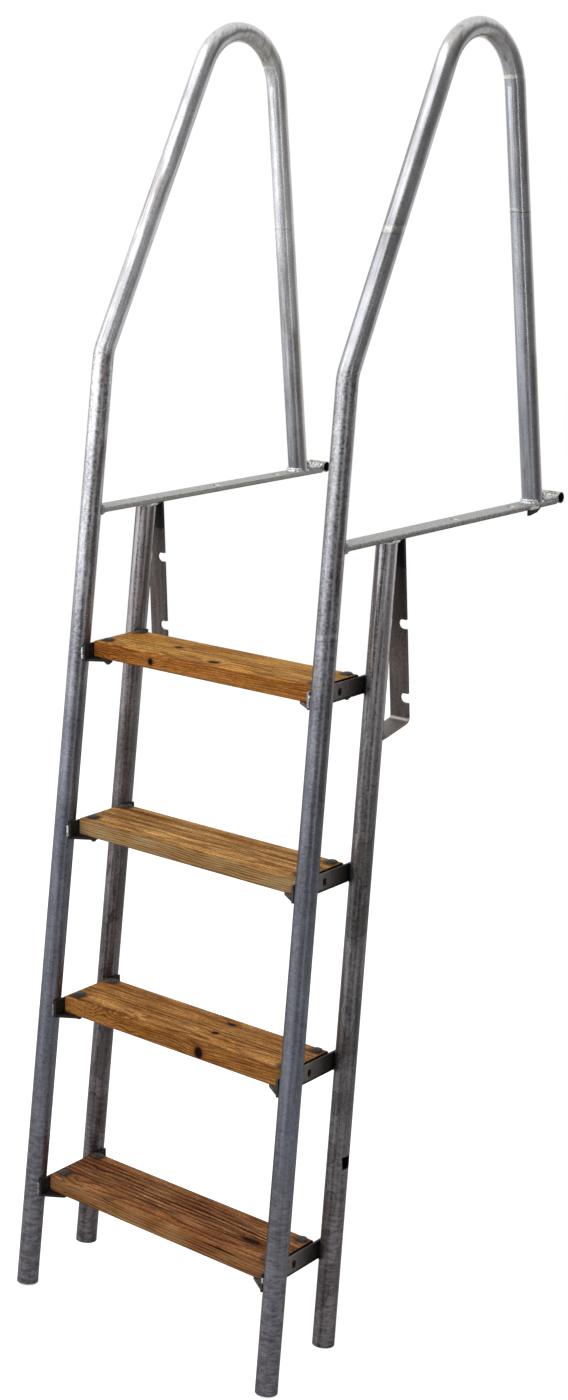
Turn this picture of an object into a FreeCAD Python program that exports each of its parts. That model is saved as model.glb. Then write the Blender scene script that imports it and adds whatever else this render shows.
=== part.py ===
import FreeCAD, Part
import math
import os

from FreeCAD import Vector

# Dock ladder: two bent tube side frames, four timber steps, a flat bar foot on each frame that is screwed
# to the deck, and a notched hanger under each bar. Millimetres. X runs across the ladder to the right as a
# bather facing the dock sees it, Y runs back over the deck and Z is up. The origin lies on the deck
# surface, under the right bar and midway between its two deck screws.
#
# The pieces are built in the ladder's own middle plane: X = 0 is midway between the frames, and Y = 0 is
# where the axes of the front rails pass through the deck surface. Each piece is moved as it is exported.

# Frames and rails
FRAME_SPACING = 528.0
TUBE_OD = 36.0
TUBE_WALL = 2.6
RAIL_LEAN_DEG = 6.5
RAIL_PITCH = 140.0
FRONT_RAIL_DROP = 1298.0
REAR_RAIL_DROP = 1280.0
VENT_DROP = 988.0
VENT_HEIGHT = 20.0
VENT_WIDTH = 18.0
WELD_GAP = 0.2

# Handrail above the deck
HANDRAIL_BEND_HEIGHT = 274.0
HANDRAIL_LEAN_DEG = 27.2
HANDRAIL_LEG_BACK = 562.0
HANDRAIL_LEG_LEAN_DEG = 5.8
SHALLOW_BEND_RADIUS = 60.0
TOP_BEND_RADIUS = 107.0

# Flat bar on the deck, with its countersunk screw holes ahead of the handrail's rear leg
BAR_WIDTH = 36.0
BAR_THICKNESS = 8.0
BAR_COPE_DEPTH = 6.5
BAR_SEAT_MARGIN = 12.0
SCREW_HOLE_D = 7.0
SCREW_HEAD_D = 13.5
SCREW_BEFORE_LEG = 66.0
SCREW_SPACING = 170.0

# Eye tube across the rear end of the flat bar
EYE_OD = 20.0
EYE_WALL = 2.0
EYE_LENGTH = 40.0
EYE_BEHIND_LEG = 62.0

# Locating tab under the right flat bar
TAB_THICKNESS = 5.0
TAB_DEPTH = 10.5
TAB_BEFORE_LEG = 35.0
TAB_LENGTH = 36.0
TAB_SHOULDER_BACK = 24.0
TAB_SHOULDER_DEPTH = 7.0

# Hanger strip behind each rear rail; the left one is cut shorter at its head
LEFT_HANGER_DROP = 261.0
RIGHT_HANGER_DROP = 303.0
HANGER_WIDTH = 36.0
HANGER_THICKNESS = 5.0
HANGER_CLEARANCE = 2.5
HANGER_LEAN_DEG = 3.3
HANGER_FOOT_SLOPE_DEG = 12.0
HANGER_BEND_RADIUS = 9.0
HANGER_FOOT_LAP = 8.0
NOTCH_HEIGHT = 16.0
NOTCH_DEPTH = 16.0
NOTCH_SPACING = 123.0
NOTCH_ABOVE_ELBOW = 169.0

# Steps and the angle brackets that carry them
STEP_COUNT = 4
STEP_FIRST_DROP = 216.5
STEP_SPACING = 300.0
PLANK_DEPTH = 114.0
PLANK_THICKNESS = 28.0
PLANK_SETBACK = 9.0
PLANK_EDGE_RADIUS = 4.0
PLANK_END_GAP = 0.3
ANGLE_THICKNESS = 4.0
ANGLE_WIDTH = 37.0
PLANK_ABOVE_ANGLE = 3.0
ANGLE_LAP = 9.0
ANGLE_MITRE = 23.0
SLOT_WIDTH = 9.0
SLOT_HEIGHT = 13.0
BOLT_HOLE_D = 8.5
BOLT_FROM_END = 15.5
BOLT_FROM_FRONT = 20.5
BOLT_FROM_REAR = 12.0

SIDES = {"left": -1.0, "right": 1.0}
HANGER_DROP = {"left": LEFT_HANGER_DROP, "right": RIGHT_HANGER_DROP}

TUBE_R = TUBE_OD / 2.0
EYE_R = EYE_OD / 2.0
FRAME_X = FRAME_SPACING / 2.0
EYE_BACK = HANDRAIL_LEG_BACK + EYE_BEHIND_LEG
SCREW_BACKS = [HANDRAIL_LEG_BACK - SCREW_BEFORE_LEG - row * SCREW_SPACING for row in range(2)]
ORIGIN = Vector(FRAME_X, sum(SCREW_BACKS) / 2.0, 0)
RAIL_LEAN = math.radians(RAIL_LEAN_DEG)
HANDRAIL_LEAN = math.radians(HANDRAIL_LEAN_DEG)
LEG_LEAN = math.radians(HANDRAIL_LEG_LEAN_DEG)
HANGER_LEAN = math.radians(HANGER_LEAN_DEG)
FOOT_SLOPE = math.radians(HANGER_FOOT_SLOPE_DEG)

RAIL_UP = Vector(0, math.sin(RAIL_LEAN), math.cos(RAIL_LEAN))
HANDRAIL_UP = Vector(0, math.sin(HANDRAIL_LEAN), math.cos(HANDRAIL_LEAN))
LEG_UP = Vector(0, -math.sin(LEG_LEAN), math.cos(LEG_LEAN))

HANGER_BACK = RAIL_PITCH + TUBE_R / math.cos(RAIL_LEAN) + HANGER_CLEARANCE + HANGER_THICKNESS / 2.0
ANGLE_FACE_X = FRAME_X - TUBE_R - WELD_GAP
PLANK_END_X = ANGLE_FACE_X - ANGLE_THICKNESS - PLANK_END_GAP
ANGLE_HEIGHT = PLANK_THICKNESS - PLANK_ABOVE_ANGLE + ANGLE_THICKNESS


def rail_axis(pitch, height):
    """Point on a rail's axis at this height, on the frame's own plane X = 0."""
    return Vector(0, pitch + height * math.tan(RAIL_LEAN), height)


def crossing(point_a, along_a, point_b, along_b):
    """Where two lines in the frame's plane meet."""
    gap = point_b - point_a
    turn = along_a.y * along_b.z - along_a.z * along_b.y
    reach = (gap.y * along_b.z - gap.z * along_b.y) / turn
    return point_a + along_a * reach


def rounded_path(corners, radii):
    """Wire through the corners in the frame's plane, with a tangent arc at each inner corner."""
    edges = []
    start = corners[0]
    for corner, following, radius in zip(corners[1:-1], corners[2:], radii):
        inward = (start - corner).normalize()
        outward = (following - corner).normalize()
        half = inward.getAngle(outward) / 2.0
        setback = radius / math.tan(half)
        first = corner + inward * setback
        last = corner + outward * setback
        bisector = (inward + outward).normalize()
        middle = corner + bisector * (radius / math.sin(half) - radius)
        edges.append(Part.makeLine(start, first))
        edges.append(Part.Arc(first, middle, last).toShape())
        start = last
    edges.append(Part.makeLine(start, corners[-1]))
    return Part.Wire(edges)


def swept_rod(path, radius):
    """Round rod of this radius swept along a path that starts on its first edge."""
    first = path.Edges[0]
    start = first.valueAt(first.FirstParameter)
    along = first.tangentAt(first.FirstParameter)
    ring = Part.Wire([Part.makeCircle(radius, start, along)])
    return path.makePipeShell([ring], True, True)


def swept_tube(path):
    """Open ended tube of the rails' size along a path."""
    return swept_rod(path, TUBE_R).cut(swept_rod(path, TUBE_R - TUBE_WALL))


def rail_rod(pitch, margin):
    """Solid rod round a rail's axis, larger than the rail by the margin, for coping what meets it."""
    foot = rail_axis(pitch, -FRONT_RAIL_DROP)
    return Part.makeCylinder(TUBE_R + margin, FRONT_RAIL_DROP + HANDRAIL_BEND_HEIGHT, foot, RAIL_UP)


def slab(x_range, y_range, z_range):
    """Box between the given limits."""
    size = [limits[1] - limits[0] for limits in (x_range, y_range, z_range)]
    return Part.makeBox(size[0], size[1], size[2], Vector(x_range[0], y_range[0], z_range[0]))


def on_side(shape, side):
    """Place a shape built on X = 0 on its own frame."""
    shape.translate(Vector(SIDES[side] * FRAME_X, 0, 0))
    return shape


def side_rail(side):
    """Front rail, shallow bend, sloping handrail, top bend and rear leg in one bent tube."""
    foot = rail_axis(0.0, -FRONT_RAIL_DROP)
    shallow = rail_axis(0.0, HANDRAIL_BEND_HEIGHT)
    leg_base = Vector(0, HANDRAIL_LEG_BACK, BAR_THICKNESS)
    top = crossing(shallow, HANDRAIL_UP, leg_base, LEG_UP)
    leg_end = leg_base - LEG_UP * TUBE_OD
    path = rounded_path([foot, shallow, top, leg_end], [SHALLOW_BEND_RADIUS, TOP_BEND_RADIUS])
    tube = swept_tube(path)
    under_leg = slab((-TUBE_OD, TUBE_OD), (HANDRAIL_LEG_BACK - 2 * TUBE_OD, HANDRAIL_LEG_BACK + 2 * TUBE_OD),
                     (-2 * TUBE_OD, BAR_THICKNESS))
    return on_side(tube.cut(under_leg), side)


def rear_rail(side):
    """Straight rail with square ends and a square vent in its outer side near the foot.

    The front of its top rim meets the flat bar.
    """
    foot = rail_axis(RAIL_PITCH, -REAR_RAIL_DROP)
    head = rail_axis(RAIL_PITCH, -TUBE_R * math.sin(RAIL_LEAN) - WELD_GAP)
    tube = swept_tube(Part.Wire([Part.makeLine(foot, head)]))
    back = rail_axis(RAIL_PITCH, -VENT_DROP).y
    outward = sorted((0, SIDES[side] * TUBE_OD))
    vent = slab(outward, (back - VENT_WIDTH / 2.0, back + VENT_WIDTH / 2.0),
                (-VENT_DROP - VENT_HEIGHT / 2.0, -VENT_DROP + VENT_HEIGHT / 2.0))
    return on_side(tube.cut(vent), side)


def deck_bar(side):
    """Flat bar coped round the front rail, drilled and countersunk for the deck screws.

    Its middle length, from behind the hanger to ahead of the tab, is the seat that lies on the deck, and
    keeps faces of its own.
    """
    half = BAR_WIDTH / 2.0
    front = TUBE_R - BAR_COPE_DEPTH
    seat_front = HANGER_BACK + HANGER_THICKNESS / 2.0 + BAR_SEAT_MARGIN
    seat_rear = HANDRAIL_LEG_BACK - TAB_BEFORE_LEG - BAR_SEAT_MARGIN
    rear = EYE_BACK - math.sqrt(EYE_R ** 2 - (EYE_R - BAR_THICKNESS) ** 2) - WELD_GAP
    lengths = [slab((-half, half), limits, (0, BAR_THICKNESS))
               for limits in ((front, seat_front), (seat_front, seat_rear), (seat_rear, rear))]
    bar = lengths[0].fuse(lengths[1:])
    bar = bar.cut(rail_rod(0.0, WELD_GAP))
    sink_depth = (SCREW_HEAD_D - SCREW_HOLE_D) / 2.0
    for back in SCREW_BACKS:
        hole = Part.makeCylinder(SCREW_HOLE_D / 2.0, BAR_THICKNESS, Vector(0, back, 0))
        sink = Part.makeCone(SCREW_HOLE_D / 2.0, SCREW_HEAD_D / 2.0, sink_depth,
                             Vector(0, back, BAR_THICKNESS - sink_depth))
        bar = bar.cut(hole).cut(sink)
    return on_side(bar, side)


def eye_tube(side):
    """Short open tube across the rear end of the flat bar, its underside level with the bar's."""
    start = Vector(-EYE_LENGTH / 2.0, EYE_BACK, EYE_R)
    outer = Part.makeCylinder(EYE_R, EYE_LENGTH, start, Vector(1, 0, 0))
    bore = Part.makeCylinder(EYE_R - EYE_WALL, EYE_LENGTH, start, Vector(1, 0, 0))
    return on_side(outer.cut(bore), side)


def deck_tab(side):
    """Pointed plate under the outer edge of a flat bar."""
    front = HANDRAIL_LEG_BACK - TAB_BEFORE_LEG
    outline = Part.makePolygon([
        Vector(0, front, 0),
        Vector(0, front, -TAB_DEPTH),
        Vector(0, front + TAB_SHOULDER_BACK, -TAB_SHOULDER_DEPTH),
        Vector(0, front + TAB_LENGTH, 0),
        Vector(0, front, 0)])
    plate = Part.Face(outline).extrude(Vector(TAB_THICKNESS, 0, 0))
    plate.translate(Vector(BAR_WIDTH / 2.0 - TAB_THICKNESS, 0, 0))
    return on_side(plate, side)


def hanger_line(height):
    """How far back the middle of the hanger strip stands at this height."""
    return HANGER_BACK - height * math.tan(HANGER_LEAN)


def hanger(side):
    """Strip that runs down from the flat bar and bends forward to a foot coped round the rear rail."""
    drop = HANGER_DROP[side]
    elbow = Vector(0, hanger_line(-drop), -drop)
    down = Vector(0, math.sin(HANGER_LEAN), -math.cos(HANGER_LEAN))
    forward = Vector(0, -math.cos(FOOT_SLOPE), -math.sin(FOOT_SLOPE))
    head = elbow - down * (drop + 2 * HANGER_THICKNESS)
    rail_at_foot = rail_axis(RAIL_PITCH, -drop).y
    reach = elbow.y - rail_at_foot - TUBE_R + HANGER_FOOT_LAP
    toe = elbow + forward * (reach / math.cos(FOOT_SLOPE))
    middle = rounded_path([head, elbow, toe], [HANGER_BEND_RADIUS])
    across = down.cross(Vector(1, 0, 0)) * (HANGER_THICKNESS / 2.0)
    section = Part.makePolygon([
        head - across - Vector(HANGER_WIDTH / 2.0, 0, 0),
        head + across - Vector(HANGER_WIDTH / 2.0, 0, 0),
        head + across + Vector(HANGER_WIDTH / 2.0, 0, 0),
        head - across + Vector(HANGER_WIDTH / 2.0, 0, 0),
        head - across - Vector(HANGER_WIDTH / 2.0, 0, 0)])
    strip = middle.makePipeShell([section], True, True)
    above = slab((-HANGER_WIDTH, HANGER_WIDTH), (0, 2 * HANGER_BACK), (0, drop))
    strip = strip.cut(above).cut(rail_rod(RAIL_PITCH, WELD_GAP))
    for row in range(2):
        strip = strip.cut(notch(drop - NOTCH_ABOVE_ELBOW + row * NOTCH_SPACING))
    return on_side(strip, side)


def notch(drop):
    """Cutter for a hook notch with a round inner end, open at the right edge of the strip."""
    round_r = NOTCH_HEIGHT / 2.0
    inner_x = HANGER_WIDTH / 2.0 - NOTCH_DEPTH + round_r
    front = hanger_line(-drop) - 4 * HANGER_THICKNESS
    reach = 8 * HANGER_THICKNESS
    end = Part.makeCylinder(round_r, reach, Vector(inner_x, front, -drop - round_r), Vector(0, 1, 0))
    mouth = slab((inner_x, HANGER_WIDTH), (front, front + reach), (-drop - NOTCH_HEIGHT, -drop))
    return end.fuse(mouth)


def step_top(number):
    """Height of a step's top face; step 1 is the highest."""
    return -STEP_FIRST_DROP - (number - 1) * STEP_SPACING


def bolt_places(number):
    """How far back the two bolts at each end of a step stand."""
    front = rail_axis(0.0, step_top(number)).y + PLANK_SETBACK
    return (front + BOLT_FROM_FRONT, front + PLANK_DEPTH - BOLT_FROM_REAR)


def bolt_holes(number, x):
    """Cutter for the bolt holes at one end of a step."""
    top = step_top(number)
    depth = PLANK_THICKNESS + 2 * ANGLE_THICKNESS
    holes = [Part.makeCylinder(BOLT_HOLE_D / 2.0, 2 * depth, Vector(x, back, top - 1.5 * depth))
             for back in bolt_places(number)]
    return holes[0].fuse(holes[1])


def step_plank(number):
    """Board with rounded long edges, bolted down at its four corners."""
    top = step_top(number)
    front = rail_axis(0.0, top).y + PLANK_SETBACK
    board = slab((-PLANK_END_X, PLANK_END_X), (front, front + PLANK_DEPTH), (top - PLANK_THICKNESS, top))
    long_edges = [edge for edge in board.Edges if edge.Length > PLANK_END_X]
    board = board.makeFillet(PLANK_EDGE_RADIUS, long_edges)
    bolt_x = PLANK_END_X - BOLT_FROM_END
    return board.cut(bolt_holes(number, bolt_x)).cut(bolt_holes(number, -bolt_x))


def step_bracket(side, number):
    """Angle lapped on the inner sides of both rails, mitred under the plank, with an upright slot."""
    top = step_top(number) - PLANK_ABOVE_ANGLE
    bottom = top - ANGLE_HEIGHT
    level = (top + bottom) / 2.0
    front = rail_axis(0.0, level).y - ANGLE_LAP
    rear = rail_axis(RAIL_PITCH, level).y + ANGLE_LAP
    outer = ANGLE_FACE_X
    web = slab((outer - ANGLE_THICKNESS, outer), (front, rear), (bottom, top))
    shelf = Part.Face(Part.makePolygon([
        Vector(outer, front, bottom),
        Vector(outer - ANGLE_WIDTH, front + ANGLE_MITRE, bottom),
        Vector(outer - ANGLE_WIDTH, rear - ANGLE_MITRE, bottom),
        Vector(outer, rear, bottom),
        Vector(outer, front, bottom)])).extrude(Vector(0, 0, ANGLE_THICKNESS))
    angle = web.fuse(shelf).removeSplitter()
    slot_y = (rail_axis(0.0, level).y + rail_axis(RAIL_PITCH, level).y) / 2.0
    angle = angle.cut(slot(slot_y, level, outer))
    angle = angle.cut(bolt_holes(number, PLANK_END_X - BOLT_FROM_END))
    if side == "left":
        angle = angle.mirror(Vector(0, 0, 0), Vector(1, 0, 0))
    return angle


def slot(back, level, outer):
    """Cutter for the upright round ended slot in the web of a bracket."""
    radius = SLOT_WIDTH / 2.0
    straight = SLOT_HEIGHT / 2.0 - radius
    start = outer - 2 * ANGLE_THICKNESS
    depth = 3 * ANGLE_THICKNESS
    cutter = slab((start, start + depth), (back - radius, back + radius), (level - straight, level + straight))
    for end in (-straight, straight):
        cutter = cutter.fuse(Part.makeCylinder(radius, depth, Vector(start, back, level + end), Vector(1, 0, 0)))
    return cutter


def export(name, shape):
    """Write one named piece, moved so that the origin is on the deck under the right bar."""
    shape.translate(ORIGIN.negative())
    shape.exportStep("parts/" + name + ".step")


os.makedirs("parts", exist_ok=True)
for frame_side in SIDES:
    export(frame_side + "_side_rail", side_rail(frame_side))
    export(frame_side + "_rear_rail", rear_rail(frame_side))
    export(frame_side + "_deck_bar", deck_bar(frame_side))
    export(frame_side + "_eye_tube", eye_tube(frame_side))
    export(frame_side + "_hanger", hanger(frame_side))
    for step_number in range(1, STEP_COUNT + 1):
        export(frame_side + "_bracket_" + str(step_number), step_bracket(frame_side, step_number))
export("right_deck_tab", deck_tab("right"))
for step_number in range(1, STEP_COUNT + 1):
    export("step_" + str(step_number), step_plank(step_number))
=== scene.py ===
import random
from math import atan, cos, exp, hypot, pi, radians, sin, sqrt, tan

import bmesh
import bpy
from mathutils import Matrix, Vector, noise


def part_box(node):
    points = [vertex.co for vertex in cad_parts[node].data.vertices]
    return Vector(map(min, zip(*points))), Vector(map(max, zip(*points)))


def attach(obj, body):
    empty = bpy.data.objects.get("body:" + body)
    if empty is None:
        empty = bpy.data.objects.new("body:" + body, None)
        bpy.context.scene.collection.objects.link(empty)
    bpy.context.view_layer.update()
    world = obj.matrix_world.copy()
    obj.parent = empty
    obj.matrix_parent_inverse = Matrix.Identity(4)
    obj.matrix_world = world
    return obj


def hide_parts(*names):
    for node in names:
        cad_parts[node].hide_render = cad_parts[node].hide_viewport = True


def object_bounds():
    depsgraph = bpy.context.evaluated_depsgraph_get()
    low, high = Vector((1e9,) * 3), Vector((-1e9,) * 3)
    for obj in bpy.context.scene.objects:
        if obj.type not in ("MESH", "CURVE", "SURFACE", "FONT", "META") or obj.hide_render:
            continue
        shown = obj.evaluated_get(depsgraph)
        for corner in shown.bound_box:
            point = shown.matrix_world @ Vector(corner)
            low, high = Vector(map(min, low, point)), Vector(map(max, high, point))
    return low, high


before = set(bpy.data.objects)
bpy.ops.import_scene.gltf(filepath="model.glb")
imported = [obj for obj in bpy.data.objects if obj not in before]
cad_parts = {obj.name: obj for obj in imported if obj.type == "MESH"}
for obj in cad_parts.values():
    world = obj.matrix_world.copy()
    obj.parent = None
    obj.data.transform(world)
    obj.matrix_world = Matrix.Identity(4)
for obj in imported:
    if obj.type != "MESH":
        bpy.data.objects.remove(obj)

# Dock ladder: bent zinc coated side rails, four timber steps on angle brackets, a flat deck bar and a
# notched hanger on each side. Metres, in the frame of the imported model: X to the right as a bather facing
# the dock sees it, Y back over the deck, Z up, with the origin under the right bar.

CAD_LOW, CAD_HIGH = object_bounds()
ROOT = "root"
SIDES = {"left": -1.0, "right": 1.0}
STEPS = (1, 2, 3, 4)

# Photograph and camera
PHOTO_HEIGHT = 1400
PRINCIPAL_ROW = 280
FOCAL_PIXELS = 2287.8
SENSOR_MM = 36.0
CAMERA_PLACE = (2.1806, -3.1937, 0.6745)
CAMERA_TURN_DEG = (85.95, -0.497, 39.434)

# Sizes that the frame's boxes don't give
LEG_LEAN = radians(5.8)
HANDRAIL_LEAN = radians(27.2)
BEND_HEIGHT = 0.274
FOOT_SLOPE = radians(12.0)
# Middle of a hanger strip behind the surface of its rear rail, and its bend above its lowest point
HANGER_BEHIND_RAIL = 0.005
HANGER_BEND = 0.0195
BRACKET_LAP = 0.009
BOLT_FROM_END = 0.0155
BOLT_FROM_FRONT = 0.0205
BOLT_FROM_REAR = 0.012

# Places of the pieces, read from the frame
RAIL_LOW, RAIL_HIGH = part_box("right_rear_rail")
TUBE_R = (RAIL_HIGH.x - RAIL_LOW.x) / 2
FRAME_X = {side: sum(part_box(side + "_rear_rail"), Vector()).x / 2 for side in SIDES}
# Plane between the two side frames
MIDWAY = FRAME_X["left"] / 2


def measured_lean():
    """Lean of the rails, from the box round a straight one."""
    size = RAIL_HIGH - RAIL_LOW
    lean = 0.0
    for _ in range(30):
        lean = atan((size.y - 2 * TUBE_R * cos(lean)) / (size.z - 2 * TUBE_R * sin(lean)))
    return lean


RAIL_LEAN = measured_lean()


def foot_of(node):
    """Lowest point of a rail's axis, as its distance back and its height."""
    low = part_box(node)[0]
    return low.y + TUBE_R * cos(RAIL_LEAN), low.z + TUBE_R * sin(RAIL_LEAN)


FRONT_FOOT = foot_of("right_side_rail")
REAR_FOOT = foot_of("right_rear_rail")
BAR_LOW, BAR_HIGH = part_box("right_deck_bar")
# Deck screws of each bar
SCREW_BACKS = (-0.085, 0.085)
LEG_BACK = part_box("right_side_rail")[1].y - TUBE_R / cos(LEG_LEAN)
# Top bend of the handrails, by its centre line
LOOP_R = 0.107
LOOP_HEIGHT = CAD_HIGH.z - TUBE_R - LOOP_R
LOOP_BACK = LEG_BACK - LOOP_HEIGHT * tan(LEG_LEAN) - LOOP_R / cos(LEG_LEAN)


def rail_back(foot, height):
    """How far back a rail's axis is at this height."""
    return foot[0] + (height - foot[1]) * tan(RAIL_LEAN)


# First input and result of a mix node, for each kind of value
MIX_SOCKETS = {"FLOAT": (2, 0), "VECTOR": (4, 1), "RGBA": (6, 2)}


class Nodes:
    """Node tree of a material or of the world, built with short calls."""

    def __init__(self, owner):
        owner.use_nodes = True
        self.tree = owner.node_tree
        self.tree.nodes.clear()

    def feed(self, socket, value):
        """Link an output, or set a number, vector or colour, on an input."""
        if isinstance(value, bpy.types.NodeSocket):
            self.tree.links.new(value, socket)
        else:
            socket.default_value = value

    def node(self, kind, inputs=None, **settings):
        """New node with these settings, fed with these inputs by their names or numbers."""
        made = self.tree.nodes.new("ShaderNode" + kind)
        for key, value in settings.items():
            setattr(made, key, value)
        for key, value in (inputs or {}).items():
            self.feed(made.inputs[key], value)
        return made

    def math(self, operation, a, b=0.0, c=0.0, clamp=False):
        return self.node("Math", {0: a, 1: b, 2: c}, operation=operation, use_clamp=clamp).outputs[0]

    def plus(self, a, b, clamp=False):
        return self.math("ADD", a, b, clamp=clamp)

    def minus(self, a, b, clamp=False):
        return self.math("SUBTRACT", a, b, clamp=clamp)

    def times(self, value, *factors):
        for factor in factors:
            value = self.math("MULTIPLY", value, factor)
        return value

    def scaled(self, value, factor, offset):
        return self.math("MULTIPLY_ADD", value, factor, offset)

    def swing(self, value, reach):
        """A value from 0 to 1 turned into a swing of this reach round 0."""
        return self.scaled(value, reach, -reach / 2)

    def gap(self, a, b):
        """Distance between two numbers."""
        return self.math("ABSOLUTE", self.minus(a, b))

    def reach(self, a, b):
        """Length of the diagonal of these two sides."""
        return self.math("SQRT", self.plus(self.times(a, a), self.times(b, b)))

    def vector(self, operation, a, b=(0.0, 0.0, 0.0)):
        made = self.node("VectorMath", {0: a, 1: b}, operation=operation)
        return made.outputs["Value" if operation in ("LENGTH", "DOT_PRODUCT") else "Vector"]

    def step(self, value, start, end, low=0.0, high=1.0):
        """Smooth rise from low at start to high at end."""
        inputs = {0: value, 1: start, 2: end, 3: low, 4: high}
        return self.node("MapRange", inputs, interpolation_type="SMOOTHSTEP").outputs[0]

    def mix(self, share, a, b, kind="RGBA", blend="MIX"):
        first, result = MIX_SOCKETS[kind]
        inputs = {0: share, first: a, first + 1: b}
        return self.node("Mix", inputs, data_type=kind, blend_type=blend).outputs[result]


class Shader(Nodes):
    """Nodes of one material, whose colour is painted layer over layer."""

    def __init__(self, name):
        self.material = bpy.data.materials.new(name)
        super().__init__(self.material)
        self.surface = self.node("BsdfPrincipled")
        self.node("OutputMaterial", {0: self.surface.outputs[0]})
        # Place on the piece, and the same turned where the piece leans
        self.place = self.along = self.node("TexCoord").outputs["Object"]
        self.axes = self.node("SeparateXYZ", {0: self.place}).outputs
        self.colour = None

    def turned(self, lean):
        """The place turned about X, so that Z runs along a tube that leans back by this angle."""
        inputs = {"Vector": self.place, "Angle": lean}
        return self.node("VectorRotate", inputs, rotation_type="X_AXIS").outputs[0]

    def noise(self, scale, detail=3.0, roughness=0.55, stretch=None):
        """Cloudy grey. A stretch below 1 draws it out along that axis of the piece."""
        place = self.vector("MULTIPLY", self.along, stretch) if stretch else self.place
        inputs = {"Vector": place, "Scale": scale, "Detail": detail, "Roughness": roughness}
        return self.node("TexNoise", inputs).outputs[0]

    def speckle(self, scale, detail=3.0, roughness=0.55, stretch=None, low=0.3, high=0.7):
        """The same cloudy grey, spread to black below low and to white above high."""
        return self.step(self.noise(scale, detail, roughness, stretch), low, high)

    def spot(self, centre, radii, softness):
        """1 inside an ellipsoid, falling to 0 outside it."""
        offset = self.vector("SUBTRACT", self.place, tuple(centre))
        distance = self.vector("LENGTH", self.vector("DIVIDE", offset, tuple(radii)))
        return self.step(distance, 1.0 + softness, 1.0 - softness)

    def over(self, below, tone, *shares):
        """A colour with a tone laid over it, by the product of these shares."""
        return self.mix(self.times(*shares), below, tone)

    def paint(self, tone, *shares):
        """Lay a tone over the colour so far, by the product of these shares."""
        self.colour = self.over(self.colour, tone, *shares)

    def finish(self, roughness, relief, depth=0.0005, strength=0.6, metallic=0.6, specular=0.5):
        """Give the surface its colour, shine and relief."""
        bump = self.node("Bump", {"Height": relief, "Distance": depth, "Strength": strength})
        values = {"Base Color": self.colour, "Metallic": metallic, "Roughness": roughness,
                  "Specular IOR Level": specular, "Normal": bump.outputs[0]}
        for name, value in values.items():
            self.feed(self.surface.inputs[name], value)
        return self.material


def rgb(red, green, blue):
    """Linear colour from one written as 0 to 255."""
    linear = [((value / 255.0 + 0.055) / 1.055) ** 2.4 for value in (red, green, blue)]
    return (*linear, 1.0)


# Zinc of the rails. It is bright on the handrails and duller and bluer towards the water.
BRIGHT_ABOVE = 0.45
DULL_BELOW = -0.5
DAMP_FROM = -0.75
DAMP_FULL = -1.05
# Heights between which the front rails' blotches set in and fade out again
BLOTCHES_SET_IN = (-0.32, -0.18)
BLOTCHES_FADE = (0.34, 0.24)
# Value of the clouds at which the rear rails' blots have their rims
BLOT_LEVEL = 0.526
RAIL_ROUGHNESS = 0.26


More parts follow.
